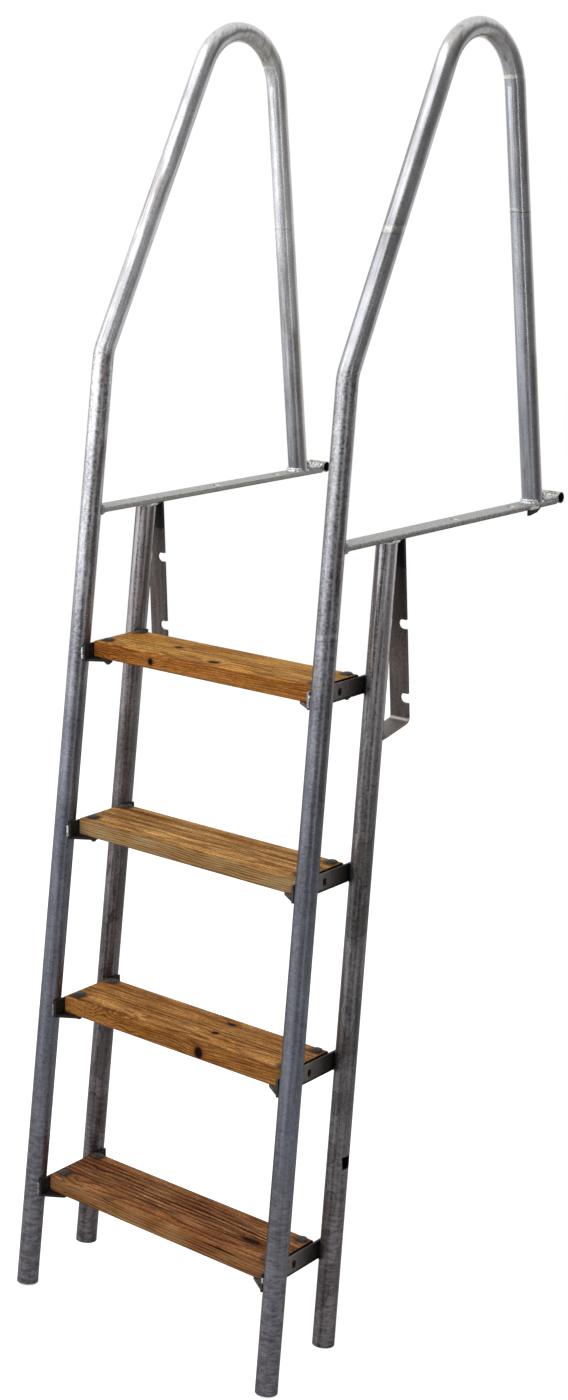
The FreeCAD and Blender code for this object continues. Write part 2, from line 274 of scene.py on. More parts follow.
class RailZinc(Shader):
    """Hot dip zinc of one rail: mottled crystals, ripples round the tube, runs along it and stains, with
    painted light and shade on its sides and top bend.
    """

    def __init__(self, name, side, bent):
        super().__init__(name)
        self.middle = FRAME_X[side]
        self.bent = bent
        self.across, self.back, self.height = self.axes
        self.along = self.turned(RAIL_LEAN)
        self.on_leg = self.above_bend = 0.0
        self.grain = 1.0
        if bent:
            self.on_leg = self.step(self.back, LEG_BACK - 0.16, LEG_BACK - 0.14)
            self.above_bend = self.step(self.height, BEND_HEIGHT - 0.01, BEND_HEIGHT + 0.01)
            self.on_slope = self.minus(self.above_bend, self.on_leg, clamp=True)
            self.along = self.mix(self.above_bend, self.along, self.turned(HANDRAIL_LEAN), "VECTOR")
            self.along = self.mix(self.on_leg, self.along, self.turned(-LEG_LEAN), "VECTOR")
        self.runs = self.speckle(250, 4, 0.6, (1, 1, 0.035))
        self.broad = self.noise(55, 3, 0.55, (1, 1, 0.12))
        self.ripples = self.speckle(430, 2, 0.6, (0.3, 0.3, 1))
        self.mottle = self.speckle(210, 4, 0.62)
        self.patches = self.noise(15)

    def from_middle(self, start, end):
        """Rise across the tube, between these shares of its radius to the right of its middle."""
        return self.step(self.across, self.middle + TUBE_R * start, self.middle + TUBE_R * end)

    def pale_share(self, streaked):
        """Where the coating is pale, from 0 to 1."""
        blotched = 0.35
        if self.bent:
            bare = self.times(self.step(self.height, *BLOTCHES_SET_IN),
                              self.step(self.height, *BLOTCHES_FADE), self.minus(1.0, self.on_leg))
            smooth = self.math("MAXIMUM", self.above_bend, self.on_leg)
            blotched = self.scaled(smooth, -0.16, self.scaled(bare, 0.34, 0.24))
            self.grain = self.scaled(smooth, -0.7, 1.0)
        # A random grey for each crystal of the coating
        cells = self.node("TexVoronoi", {"Vector": self.place, "Scale": 190}).outputs["Color"]
        crystals = self.node("SeparateXYZ", {0: cells}).outputs["X"]
        fine = self.plus(self.swing(self.ripples, 0.22), self.swing(crystals, 0.16))
        tone = self.times(self.minus(self.mottle, 0.5), blotched)
        for change in (self.times(fine, self.grain), self.swing(self.runs, streaked),
                       self.swing(self.broad, 0.6), self.swing(self.patches, 0.8)):
            tone = self.plus(tone, change)
        if self.bent:
            tone = self.scaled(self.on_slope, 0.06, tone)
            tone = self.scaled(self.minus(self.broad, 0.5), self.on_leg, tone)
        else:
            streaks = self.scaled(self.speckle(135, 2, 0.55, (1, 1, 0.02), 0.4, 0.6), 1.3, -0.68)
            tone = self.scaled(streaks, self.step(self.height, -0.45, -0.05), tone)
        return self.plus(tone, 0.52, clamp=True)

    def coat(self, share, high, low):
        """Zinc of the high and the low part, each as its dark and pale colour, and damp at the feet."""
        self.colour = self.mix(share, *high)
        # worn is only a height here, ragged by the patches, where the high colours give way to the low
        # ones; on the legs the change sets in higher.
        worn = self.scaled(self.patches, 0.16, self.height)
        if self.bent:
            worn = self.scaled(self.on_leg, -0.27, worn)
        self.paint(self.mix(share, *low), self.step(worn, BRIGHT_ABOVE, DULL_BELOW))
        wet = self.step(self.scaled(self.patches, 0.2, self.height), DAMP_FROM, DAMP_FULL)
        blots = self.speckle(200, 5, 0.72, (0.3, 0.3, 1), 0.38, 0.62)
        self.paint(self.mix(blots, rgb(70, 64, 65), rgb(150, 143, 149)), wet, 0.5)

    def blot_low_part(self):
        """Rusty blots with dark rims low on a rear rail."""
        field = self.noise(21, 1.5, 0.55, (1, 1, 0.6))
        low_down = self.step(self.height, -0.3, -0.45)
        inside = self.step(field, BLOT_LEVEL - 0.006, BLOT_LEVEL + 0.006)
        self.paint(rgb(74, 68, 63), inside, low_down, 0.42)
        rim = self.step(self.gap(field, BLOT_LEVEL), 0.012, 0.003)
        self.paint(rgb(46, 42, 40), rim, low_down, 0.5)

    def paint_loop_reflection(self):
        """Top bend, painted reflections: a pale painted highlight on its outer rim, a dark painted band
        under that and a duller painted tone on the inner side.
        """
        loop = self.step(self.height, LOOP_HEIGHT + 0.02, LOOP_HEIGHT + 0.06)
        from_centre = self.reach(self.minus(self.height, LOOP_HEIGHT), self.minus(self.back, LOOP_BACK))
        outward = self.scaled(self.broad, TUBE_R * 0.6, self.minus(from_centre, LOOP_R))
        # Painted reflections of the loop: a highlight on the rim, a dull tone inside, a dark band between.
        rim = self.step(outward, TUBE_R * 0.62, TUBE_R * 0.9)
        self.paint(rgb(232, 232, 228), rim, loop, 0.5)
        inner = self.step(outward, TUBE_R * 0.25, -TUBE_R * 0.1)
        self.paint(rgb(158, 150, 134), inner, loop, 0.5)
        loop_dark_band = self.step(self.gap(outward, TUBE_R * 0.42), TUBE_R * 0.32, TUBE_R * 0.06)
        self.paint(rgb(84, 80, 78), loop_dark_band, loop, 0.62)

    def shade_sides(self, leg_highlight, lit, lit_tone):
        """Painted shade along the left edge, and painted highlights and painted shade on the tube's right
        side.
        """
        # Painted shade: a dark band along the tube's left edge.
        self.paint(rgb(64, 60, 60), self.from_middle(-0.25, -0.6), self.from_middle(-0.99, -0.82), 0.45)
        right_side = self.from_middle(0.55, 0.92)
        if self.bent:
            # On a leg, a pale blue painted highlight near the right edge and a thin dark painted line at
            # that edge.
            self.paint(rgb(206, 212, 224), self.from_middle(0.93, 0.8), self.on_leg, leg_highlight)
            self.paint(rgb(74, 69, 68), self.from_middle(0.955, 0.985), self.on_leg, 0.4)
            # Below the bend, a patchy brown painted shade on the right side.
            self.paint(rgb(88, 76, 70), right_side, self.minus(1.0, self.above_bend),
                       self.step(self.height, -0.6, -0.25), self.step(self.broad, 0.4, 0.6), 0.6)
            here = self.on_leg
        else:
            here = self.scaled(self.step(self.height, -0.6, -0.1), 0.88, 0.04)
        # Painted highlight: a pale tone over the right side, on the leg of a bent rail, and on a straight
        # rail mostly up high.
        self.paint(lit_tone, right_side, lit, here, self.scaled(self.broad, 0.6, 0.5))

    def stain(self, strength):
        """Brown runs, weaker low down."""
        brown = self.speckle(120, 4, 0.65, (1, 1, 0.05), 0.5, 0.68)
        by_height = self.scaled(self.step(self.height, -0.55, -0.05), 0.6, 0.4)
        self.paint(rgb(112, 92, 76), brown, strength, by_height)

    def ring(self, part, place, half, pale, line):
        """Pale ring round one part of the rail, with a thin dark line through it."""
        here = {"leg": self.on_leg, "slope": self.on_slope,
                "front": self.minus(1.0, self.plus(self.above_bend, self.on_leg), clamp=True)}[part]
        level = self.scaled(self.broad, half * 1.2, self.height)
        band = self.times(self.step(self.gap(level, place + half * 1.4), half * 1.3, half * 0.4), here)
        if part == "leg":
            band = self.times(band, self.scaled(self.from_middle(0.86, 0.6), 0.75, 0.25))
        worn = self.scaled(self.mottle, pale, pale * 0.6)
        self.paint(rgb(226, 225, 216), self.math("MULTIPLY", band, worn, clamp=True))
        thin = self.step(self.gap(level, place), 0.0012, 0.0004)
        self.paint(rgb(52, 46, 42), thin, here, line, self.runs)

    def finish_rail(self, roughness, metallic):
        """Finish with the relief of the mottle and the ripples."""
        relief = self.scaled(self.mottle, 0.35, self.times(self.ripples, 0.25))
        relief = self.times(relief, self.scaled(self.grain, 1.3, -0.3))
        return self.finish(roughness, relief, 0.0004, 0.5, metallic)


def side_rail_zinc(side, high, lit, lit_tone, stained, dulled, leg_highlight, rings):
    """Zinc of a bent side rail, from its front foot over the loop to the foot of its leg."""
    zinc = RailZinc(side + "_tube_zinc", side, True)
    zinc.coat(zinc.pale_share(0.34), high, (rgb(76, 77, 85), rgb(134, 138, 151)))
    zinc.paint_loop_reflection()
    zinc.shade_sides(leg_highlight, lit, lit_tone)
    zinc.stain(stained)
    for ring in rings:
        zinc.ring(*ring)
    rough = zinc.scaled(zinc.above_bend, -0.11, zinc.scaled(zinc.mottle, 0.16, RAIL_ROUGHNESS))
    return zinc.finish_rail(rough, zinc.scaled(zinc.above_bend, -dulled, 0.95))


def rear_rail_zinc(side, high, low, lit_tone):
    """Zinc of a straight rear rail."""
    zinc = RailZinc(side + "_rear_zinc", side, False)
    zinc.coat(zinc.pale_share(0.6), high, low)
    zinc.blot_low_part()
    zinc.shade_sides(0.0, 0.34, lit_tone)
    zinc.stain(0.45)
    return zinc.finish_rail(zinc.scaled(zinc.mottle, 0.16, RAIL_ROUGHNESS), 0.9)


def bolt_steel():
    """Dark zinc of the bolts, gone dull, with brown spots."""
    steel = Shader("bolt_steel")
    mottle = steel.noise(320, 4, 0.6)
    steel.colour = steel.mix(steel.speckle(70, low=0.42, high=0.7), rgb(58, 52, 50), rgb(36, 27, 24))
    steel.paint(rgb(92, 84, 80), steel.step(mottle, 0.45, 0.75))
    return steel.finish(steel.scaled(mottle, 0.25, 0.42), mottle, 0.0004, 0.5, 0.0, 0.25)


def bar_zinc():
    """Zinc of the deck bars: pale and speckled on top, browner with painted shade on the edges, painted
    shade and a highlight at each screw hole.
    """
    zinc = Shader("bar_zinc")
    across, back, height = zinc.axes
    mottle = zinc.speckle(260, 4, 0.65)
    patches = zinc.speckle(60)
    on_left = zinc.step(across, MIDWAY, MIDWAY - 0.1)
    top = zinc.mix(mottle, rgb(140, 139, 138), rgb(206, 206, 205))
    specks = zinc.speckle(420, 2, low=0.6, high=0.68)
    top = zinc.over(top, rgb(84, 80, 76), specks, patches)
    for middle in FRAME_X.values():
        rim = middle + BAR_LOW.x
        top = zinc.over(top, rgb(96, 94, 94), zinc.step(across, rim + 0.0028, rim + 0.0008),
                        zinc.step(across, rim - 0.001, rim), 0.6)
    # The sides are painted darker than the top, as painted shade, and browner; the left bar's sides get a
    # paler painted light.
    edge = zinc.mix(mottle, rgb(92, 86, 82), rgb(176, 171, 167))
    edge = zinc.over(edge, rgb(190, 189, 182), on_left, 0.55)
    edge = zinc.over(edge, rgb(58, 53, 50), specks, 0.7)
    on_top = zinc.step(height, BAR_HIGH.z - 0.0036, BAR_HIGH.z - 0.0006)
    zinc.colour = zinc.mix(on_top, edge, top)
    # Painted shade along the bottom edge of the sides.
    under = zinc.step(height, BAR_LOW.z + 0.0022, BAR_LOW.z + 0.0004)
    zinc.paint(rgb(52, 48, 46), under, zinc.scaled(patches, 0.5, 0.35))
    # Painted shade in the front half of each countersunk screw hole and a painted highlight in its rear
    # half.
    for middle in FRAME_X.values():
        for place in SCREW_BACKS:
            behind = zinc.minus(back, place)
            inside = zinc.step(zinc.reach(zinc.minus(across, middle), behind), 0.0076, 0.0056)
            zinc.paint(rgb(36, 33, 32), inside, zinc.step(behind, 0.0012, -0.0012), 0.9)
            zinc.paint(rgb(236, 235, 232), inside, zinc.step(behind, 0.0012, 0.0036), 0.7)
    return zinc.finish(zinc.scaled(mottle, 0.2, 0.4), mottle, metallic=0.55)


def eye_zinc():
    """Zinc of the eye tubes: rough and greenish outside, with black painted shade inside the bore."""
    zinc = Shader("eye_zinc")
    low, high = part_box("right_eye_tube")
    outer = (high.z - low.z) / 2
    middle = (low + high) / 2
    _, back, height = zinc.axes
    out = zinc.reach(zinc.minus(back, middle.y), zinc.minus(height, middle.z))
    mottle = zinc.speckle(230, 4, 0.65)
    zinc.colour = zinc.mix(mottle, rgb(84, 86, 82), rgb(236, 238, 232))
    zinc.paint(rgb(80, 80, 74), zinc.speckle(90, low=0.35, high=0.65), 0.35)
    # Painted shade: the bore's inside is painted black and given less shine.
    bore_shade = zinc.step(out, outer - 0.0007, outer - 0.0011)
    zinc.paint(rgb(10, 9, 9), bore_shade)
    return zinc.finish(zinc.scaled(bore_shade, 0.6, 0.26), mottle, 0.0006, 0.7, zinc.scaled(bore_shade, -0.85, 0.85))


def hanger_zinc():
    """Zinc of the hangers: painted shadow under the deck bar, dark brown and black, greyer below, with a
    painted highlight along the bend.
    """
    zinc = Shader("hanger_zinc")
    across, _, height = zinc.axes
    mottle = zinc.speckle(240, 4, 0.65)
    runs = zinc.speckle(170, stretch=(1, 1, 0.05))
    share = zinc.scaled(runs, 0.45, zinc.times(mottle, 0.5))
    zinc.colour = zinc.mix(share, rgb(70, 61, 59), rgb(126, 116, 112))
    on_right = zinc.step(across, MIDWAY, MIDWAY + 0.1)
    # Painted shadow under the deck bar: dark brown down to a ragged height, lower and stronger on the right
    # hanger; worn is only that height.
    worn = zinc.scaled(runs, 0.02, height)
    shade_end = zinc.scaled(on_right, -0.09, -0.11)
    shade = zinc.step(worn, shade_end, zinc.plus(shade_end, 0.1))
    zinc.paint(rgb(40, 33, 31), shade, zinc.scaled(on_right, 0.45, 0.35))
    # Painted shadow: black right under the bar.
    zinc.paint(rgb(14, 11, 10), zinc.step(height, -0.05, -0.046), 0.85)
    for side, turn in SIDES.items():
        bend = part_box(side + "_hanger")[0].z + HANGER_BEND
        here = zinc.step(zinc.times(zinc.plus(across, -MIDWAY), turn), 0.0, 0.1)
        # Painted highlight along the bend, and paler painted light below it.
        zinc.paint(rgb(216, 212, 208), zinc.step(zinc.gap(height, bend), 0.003, 0.0008), here, 0.8)
        zinc.paint(rgb(176, 168, 160), zinc.step(height, bend, bend - 0.004), here, 0.45)
    return zinc.finish(zinc.scaled(mottle, 0.2, 0.42), mottle)


def weld_zinc(name, dark):
    """Lumpy weld metal under zinc: bright on its crests, with dark pits; dark lays a painted shade over it.
    """
    zinc = Shader(name)
    mottle = zinc.speckle(330, 4, 0.65)
    zinc.colour = zinc.mix(mottle, rgb(190, 192, 196), rgb(252, 253, 255))
    zinc.paint(rgb(44, 40, 37), zinc.speckle(210, 3, 0.6, low=0.56, high=0.66), 0.9)
    # Painted shade, as strong as dark.
    zinc.paint(rgb(72, 66, 62), dark)
    return zinc.finish(zinc.scaled(mottle, 0.1, 0.2), mottle, 0.0007, 0.6, 0.75)


def angle_zinc(side, pale, dark):
    """Zinc of the step brackets: grey brown, streaked upright, with painted shade on the flange, at the
    front end of the lower ones and towards the rear rail.
    """
    zinc = Shader(side + "_angle_zinc")
    _, back, height = zinc.axes
    behind = zinc.scaled(height, -tan(RAIL_LEAN), back)
    front = rail_back(FRONT_FOOT, 0.0)
    mottle = zinc.speckle(240, 4, 0.65)
    runs = zinc.speckle(210, stretch=(1, 1, 0.15))
    zinc.colour = zinc.mix(zinc.scaled(runs, 0.5, zinc.times(mottle, 0.5)), dark, pale)
    # Painted shade along the flange at the bottom of each bracket, under its step.
    for number in STEPS:
        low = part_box(f"right_bracket_{number}")[0].z
        zinc.paint(rgb(36, 31, 29), zinc.step(zinc.gap(height, low + 0.0005), 0.0042, 0.0022), 0.75)
    # Painted shade at the front end of the lower brackets, beside the front rail.
    front_end = zinc.step(behind, front + 0.012, front - 0.002)
    zinc.paint(rgb(40, 35, 33), front_end, zinc.step(height, -0.35, -0.4), 0.85)
    # Painted shade that deepens back towards the rear rail.
    far = zinc.step(zinc.scaled(runs, 0.02, behind), front + 0.035, front + 0.135)
    zinc.paint(rgb(26, 22, 21), far, 0.88)
    return zinc.finish(zinc.scaled(mottle, 0.2, 0.42), mottle)


# Marks round the tubes, as (part of the rail, height, half width, share of pale, strength of the dark line)
# The last ring of each side, pale and without a dark line where the loop ends on the leg, is a painted
# highlight.
LEFT_RINGS = (("front", 0.176, 0.003, 0.1, 0.3), ("slope", 0.677, 0.004, 0.15, 0.3),
              ("leg", 0.47, 0.003, 0.1, 0.5), ("leg", 0.764, 0.003, 0.5, 0.0))
RIGHT_RINGS = (("front", -0.134, 0.0045, 0.14, 0.55), ("slope", 0.496, 0.0055, 0.26, 0.5),
               ("leg", 0.519, 0.003, 0.26, 1.0), ("leg", 0.745, 0.0035, 0.9, 0.0))
MATERIALS = {
    "left_side_rail": side_rail_zinc(
        "left", high=(rgb(132, 131, 134), rgb(236, 238, 243)), lit=0.5, lit_tone=rgb(240, 240, 236),
        stained=0.5, dulled=0.4, leg_highlight=0.0, rings=LEFT_RINGS),
    "right_side_rail": side_rail_zinc(
        "right", high=(rgb(106, 105, 108), rgb(196, 198, 203)), lit=0.35, lit_tone=rgb(206, 204, 208),
        stained=0.4, dulled=0.15, leg_highlight=0.24, rings=RIGHT_RINGS),
    "right_rear_rail": rear_rail_zinc(
        "right", high=(rgb(70, 66, 67), rgb(196, 194, 200)), low=(rgb(68, 65, 67), rgb(138, 135, 138)),
        lit_tone=rgb(206, 200, 202)),
    "left_rear_rail": rear_rail_zinc(
        "left", high=(rgb(58, 53, 53), rgb(192, 189, 194)), low=(rgb(68, 61, 60), rgb(136, 129, 132)),
        lit_tone=rgb(206, 200, 200)),
    "deck_bar": bar_zinc(),
    "eye_tube": eye_zinc(),
    "hanger": hanger_zinc(),
    # The left brackets get a much darker copy of the same zinc: painted shade.
    "right_bracket": angle_zinc("right", pale=rgb(176, 168, 164), dark=rgb(92, 86, 84)),
    "left_bracket": angle_zinc("left", pale=rgb(70, 66, 66), dark=rgb(26, 23, 22)),
    "weld": weld_zinc("weld_zinc", 0.0),
    # A darker copy, for welds given painted shade: at the bar's front, the hangers and the left brackets'
    # lower steps.
    "shaded_weld": weld_zinc("shaded_weld_zinc", 0.65),
    "bolt": bolt_steel(),
}
MATERIALS["deck_tab"] = MATERIALS["hanger"]


def dress_frame():
    """Give each metal solid of the frame the finish whose name is part of its own."""
    for node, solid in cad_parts.items():
        for part, finish in MATERIALS.items():
            if part in node:
                solid.data.materials.clear()
                solid.data.materials.append(finish)


def placed(name, data):
    """New object in the scene."""
    made = bpy.data.objects.new(name, data)
    bpy.context.scene.collection.objects.link(made)
    return made


def add_piece(name, bm, material, slot_name, smooth=True):
    """Turn a finished bmesh into a piece that rides on the frame."""
    bmesh.ops.recalc_face_normals(bm, faces=bm.faces)
    mesh = bpy.data.meshes.new(name)
    bm.to_mesh(mesh)
    bm.free()
    mesh.materials.append(material)
    for polygon in mesh.polygons:
        polygon.use_smooth = smooth
    piece = placed(name, mesh)
    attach(piece, ROOT)
    return piece


def join_rings(bm, rings):
    """Skin a row of equal rings of vertices, with a cap at each end."""
    count = len(rings[0])
    for lower, upper in zip(rings, rings[1:]):
        for i in range(count):
            j = (i + 1) % count
            bm.faces.new((lower[i], lower[j], upper[j], upper[i]))
    bm.faces.new(rings[0])
    bm.faces.new(rings[-1])


def revolved(bm, profile, base, sides, phase=0.0):
    """Solid of revolution about an upright line; the profile is (radius, height) from the base."""
    rings = []
    for radius, height in profile:
        ring = []
        for i in range(sides):
            turn = 2 * pi * i / sides + phase
            ring.append(bm.verts.new(base + Vector((radius * cos(turn), radius * sin(turn), height))))
        rings.append(ring)
    join_rings(bm, rings)


# Weld beads: rings of this many vertices at this spacing, and the pitch of the ripples
BEAD_SIDES = 10
BEAD_SPACING = 0.0016
BEAD_PITCH = 0.0052
# Shares of a bead's radius
BEAD_LEAST = 0.84
BEAD_RIPPLE = 0.24
BEAD_RAGGED = 0.05
BEAD_WOBBLE = 0.1
BEAD_TIP = 0.12
# A bead's centre stays this far inside the widest piece, the eye tube
WELD_REACH = 0.0047
WIDEST = CAD_HIGH.x - FRAME_X["right"] - WELD_REACH
BAR_HALF = (BAR_HIGH.x - BAR_LOW.x) / 2
BAR_TOP = BAR_HIGH.z
LEG_WIDEST = BAR_HALF - 0.0042


def resampled(path, spacing):
    """Evenly spaced points along a path."""
    points = [path[0]]
    left = spacing
    for start, end in zip(path, path[1:]):
        length = (end - start).length
        while left <= length:
            points.append(start.lerp(end, left / length))
            left += spacing
        left -= length
    if (points[-1] - path[-1]).length > spacing * 0.3:
        points.append(path[-1])
    return points


def bead(bm, path, radius, seed):
    """Rippled bead of weld metal along a path, with rounded ends."""
    draw = random.Random(seed)
    points = resampled([Vector(point) for point in path], BEAD_SPACING)
    shift = draw.uniform(0, BEAD_PITCH)
    side = None
    rings = []
    last = len(points) - 1
    for index, point in enumerate(points):
        ahead = (points[min(index + 1, last)] - points[max(index - 1, 0)]).normalized()
        if side is None:
            side = ahead.orthogonal().normalized()
        side = (side - ahead * side.dot(ahead)).normalized()
        across = ahead.cross(side)
        ripple = abs(sin(pi * (index * BEAD_SPACING + shift) / BEAD_PITCH))
        size = radius * (BEAD_LEAST + BEAD_RIPPLE * ripple + draw.uniform(-BEAD_RAGGED, BEAD_RAGGED))
        from_end = min(index, last - index) * BEAD_SPACING / radius
        size *= sqrt(min(1.0, BEAD_TIP + from_end))
        ring = []
        for i in range(BEAD_SIDES):
            turn = 2 * pi * i / BEAD_SIDES
            wobble = 1.0 + BEAD_WOBBLE * noise.noise(point * 400.0 + Vector((seed, turn, 0)))
            ring.append(bm.verts.new(point + (side * cos(turn) + across * sin(turn)) * size * wobble))
        rings.append(ring)
    join_rings(bm, rings)


def weld(name, beads, metal, slot_name):
    """Piece of weld metal from beads, each a path with its radius and seed."""
    bm = bmesh.new()
    for path, radius, seed in beads:
        bead(bm, path, radius, seed)
    add_piece(name, bm, MATERIALS[metal], slot_name)


def arc_points(centre, height, radius, start_deg, end_deg, count=24, widest=WIDEST, slope=0.0):
    """Points on a circle at a height; 0 degrees points back and 90 to the right. They stay within widest of
    the centre, and rise towards the back with the slope."""
    points = []
    for i in range(count + 1):
        turn = radians(start_deg + (end_deg - start_deg) * i / count)
        aside = min(max(radius * sin(turn), -widest), widest)
        behind = radius * cos(turn)
        points.append(Vector((centre.x + aside, centre.y + behind, height + behind * slope)))
    return points


# Rings round the front rail at the bar, as (height, radius of the bead)
FRONT_RINGS = ((BAR_TOP + 0.0004, 0.0034), (-0.0012, 0.003))
# Beads up the bar's front corners, as (distance behind the rail's axis, reach below, reach above, radius)
CORNER_BEADS = ((0.0118, 0.0042, 0.005, 0.0038), (0.0168, 0.0016, 0.001, 0.0034))


def bar_front_beads(middle, seed):
    """Between the front rail and the bar."""
    rail = Vector((middle, rail_back(FRONT_FOOT, BAR_TOP / 2), 0))
    for index, (height, size) in enumerate(FRONT_RINGS):
        yield arc_points(rail, height, TUBE_R + 0.0008, 72, -72), size, seed + index
    for edge in (-1.0, 1.0):
        for behind, below, above, size in CORNER_BEADS:
            corner = Vector((middle + edge * WIDEST, rail.y + behind, 0))
            drop = Vector((0, -below * tan(RAIL_LEAN), -below))
            climb = Vector((0, 0, BAR_TOP + above))
            yield [corner + drop, corner, corner + climb], size, seed + 2


LEG_LUMPS_DEG = (-64, -38, -12, 20, 48)
# Fillets behind the leg, as (place across, inset from the tube's rear, climb up the tube)
LEG_FILLETS = ((-0.01, 0.0032, 0.012), (-0.0035, 0.0004, 0.018),
               (0.0035, 0.0004, 0.021), (0.01, 0.0032, 0.017))


def leg_beads(middle, seed):
    """Rings, lumps and fillets where the handrail's leg stands on the bar."""
    leg = Vector((middle, LEG_BACK, 0))
    yield arc_points(leg, BAR_TOP + 0.0006, TUBE_R + 0.0006, 0, 360, 48, LEG_WIDEST), 0.0036, seed + 3
    collar = leg - Vector((0, 0.0005, 0))
    yield arc_points(collar, BAR_TOP + 0.0046, TUBE_R + 0.0004, 95, 265, 30, LEG_WIDEST), 0.0029, seed + 4
    draw = random.Random(seed + 9)
    for turn in LEG_LUMPS_DEG:
        lump = arc_points(leg, BAR_TOP + 0.0016, TUBE_R + 0.0016, 180 + turn, 188 + turn, 4, LEG_WIDEST)
        yield lump, draw.uniform(0.003, 0.0042), seed + 20 + turn
    for across, inset, climb in LEG_FILLETS:
        rear = LEG_BACK + TUBE_R - inset
        profile = ((rear - climb * tan(LEG_LEAN), climb), (rear + 0.003, climb * 0.45),
                   (rear + 0.009, 0.002), (BAR_HIGH.y - 0.001, 0.001))
        fillet = [(middle + across, back, BAR_TOP + rise) for back, rise in profile]
        yield fillet, draw.uniform(0.0034, 0.0044), seed + 31


def rear_rail_beads(middle, seed):
    """Round the rear rail under the bar."""
    rail = Vector((middle, rail_back(REAR_FOOT, -0.002), 0))
    yield arc_points(rail, -0.0022, TUBE_R + 0.0003, 0, 360, 48, WIDEST + 0.001), 0.0028, seed + 4


def hanger_beads(middle, seed):
    """Between the hanger and the bar, and between its foot and the rear rail."""
    back = rail_back(REAR_FOOT, 0.0) + TUBE_R / cos(RAIL_LEAN) + HANGER_BEHIND_RAIL
    for offset in (-0.0032, 0.0032):
        ends = [(middle + x, back + offset, -0.0012) for x in (-BAR_HALF + 0.003, BAR_HALF - 0.003)]
        yield ends, 0.0027, seed + 5
    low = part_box("left_hanger" if middle < MIDWAY else "right_hanger")[0]
    rail = Vector((middle, rail_back(REAR_FOOT, low.z), 0))
    slope = tan(FOOT_SLOPE)
    for lift in (0.0012, 0.0062):
        height = low.z + (rail.y - low.y) * slope + lift
        arc = arc_points(rail, height, TUBE_R + 0.0006, 66, -66, widest=TUBE_R, slope=slope)
        yield arc, 0.0024, seed + 6


EYE_LUMPS = (0.1, 0.3, 0.52, 0.74, 0.94)


def eye_beads(middle, seed):
    """Two beads and some lumps along the seam between the bar and the eye tube."""
    seam = Vector((middle, BAR_HIGH.y + 0.0004, BAR_TOP + 0.0012))
    for forward, size in ((0.0, 0.0034), (0.0038, 0.0028)):
        ends = [seam + Vector((x, -forward, forward * 0.1)) for x in (-BAR_HALF + 0.003, BAR_HALF - 0.002)]
        yield ends, size, seed + 7
    draw = random.Random(seed + 40)
    for share in EYE_LUMPS:
        x = -BAR_HALF + 0.005 + share * (2.0 * BAR_HALF - 0.01)
        start = seam + Vector((x, draw.uniform(-0.001, 0.001), 0.0016))
        lump = [start, start + Vector((draw.uniform(-0.002, 0.002), 0.0016, 0.001))]
        yield lump, draw.uniform(0.0028, 0.0044), seed + 50


# Beads along the tab, as (height, radius, share of its length where it starts, and where it ends)
TAB_BEADS = ((0.0012, 0.0036, 0.0, 0.9), (0.0052, 0.0032, 0.1, 0.6))


def tab_beads():
    """Between the tab and the outer edge of the right bar."""
    low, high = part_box("right_deck_tab")
    for index, (height, size, start, end) in enumerate(TAB_BEADS):
        backs = (low.y + (high.y - low.y) * share for share in (start, end))
        yield [(CAD_HIGH.x - WELD_REACH, back, height) for back in backs], size, 91 + index


def bracket_beads(side, number):
    """Between a bracket's web and the inner sides of the two rails."""
    low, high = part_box(f"{side}_bracket_{number}")
    inward = -SIDES[side]
    x = FRAME_X[side] + inward * (TUBE_R - 0.0012)
    for order, (foot, ahead) in enumerate(((FRONT_FOOT, -1.0), (REAR_FOOT, 1.0))):
        seed = number * 10 + order + (200 if side == "left" else 300)
        axis = rail_back(foot, (low.z + high.z) / 2)
        lap = BRACKET_LAP * ahead
        # The right front bead is slim and short, and is there only at the first and last step
        whole = side == "left" or ahead > 0
        size, short = (0.0022, 0.0) if whole else (0.0017, 0.012)
        back = axis + lap + ahead * size * 0.3
        if whole or number in (1, 4):
            yield [(x, back, low.z + 0.003 + short), (x, back, high.z - 0.005)], size, seed
        if ahead > 0:
            bottom = low.z - 0.0004
            yield [(x, axis + lap, bottom), (x + inward * 0.001, axis - lap, bottom)], 0.0018, seed + 7


# Welds of a side frame, as (ending of the name, beads, metal, slot)
FRAME_WELDS = (("_bar_front_weld", bar_front_beads, "shaded_weld", "galvanized_tube"),
               ("_leg_weld", leg_beads, "weld", "galvanized_tube"),
               ("_rear_rail_weld", rear_rail_beads, "weld", "galvanized_rear_tube"),
               ("_hanger_weld", hanger_beads, "shaded_weld", "galvanized_strip"),
               ("_eye_weld", eye_beads, "weld", "galvanized_eye"))
FRAME_SEEDS = {"left": 11, "right": 57}


def weld_frames():
    """Welds of both side frames and their brackets."""
    for side, middle in FRAME_X.items():
        for ending, beads, metal, slot_name in FRAME_WELDS:
            weld(side + ending, beads(middle, FRAME_SEEDS[side]), metal, slot_name)
        for number in STEPS:
            # The left brackets' two lowest steps get the shaded weld, with its painted shade.
            metal = "weld" if side == "right" or number < 3 else "shaded_weld"
            weld(f"{side}_bracket_weld_{number}", bracket_beads(side, number), metal, "galvanized_angle")
    weld("right_tab_weld", tab_beads(), "weld", "galvanized_strip")


# Bolts
HEAD_R = 0.0099
HEAD_HEIGHT = 0.0036
HEAD_RIM = 0.0006
SHANK_R = 0.004
WASHER_R = 0.0085
WASHER_THICKNESS = 0.0012
NUT_ACROSS_FLATS = 0.013
NUT_HEIGHT = 0.0055
NUT_CHAMFER = 0.0009
THREAD_PITCH = 0.00125
THREAD_DEPTH = 0.0006
THREAD_SHOWN = 0.003
THREAD_START = 0.0006


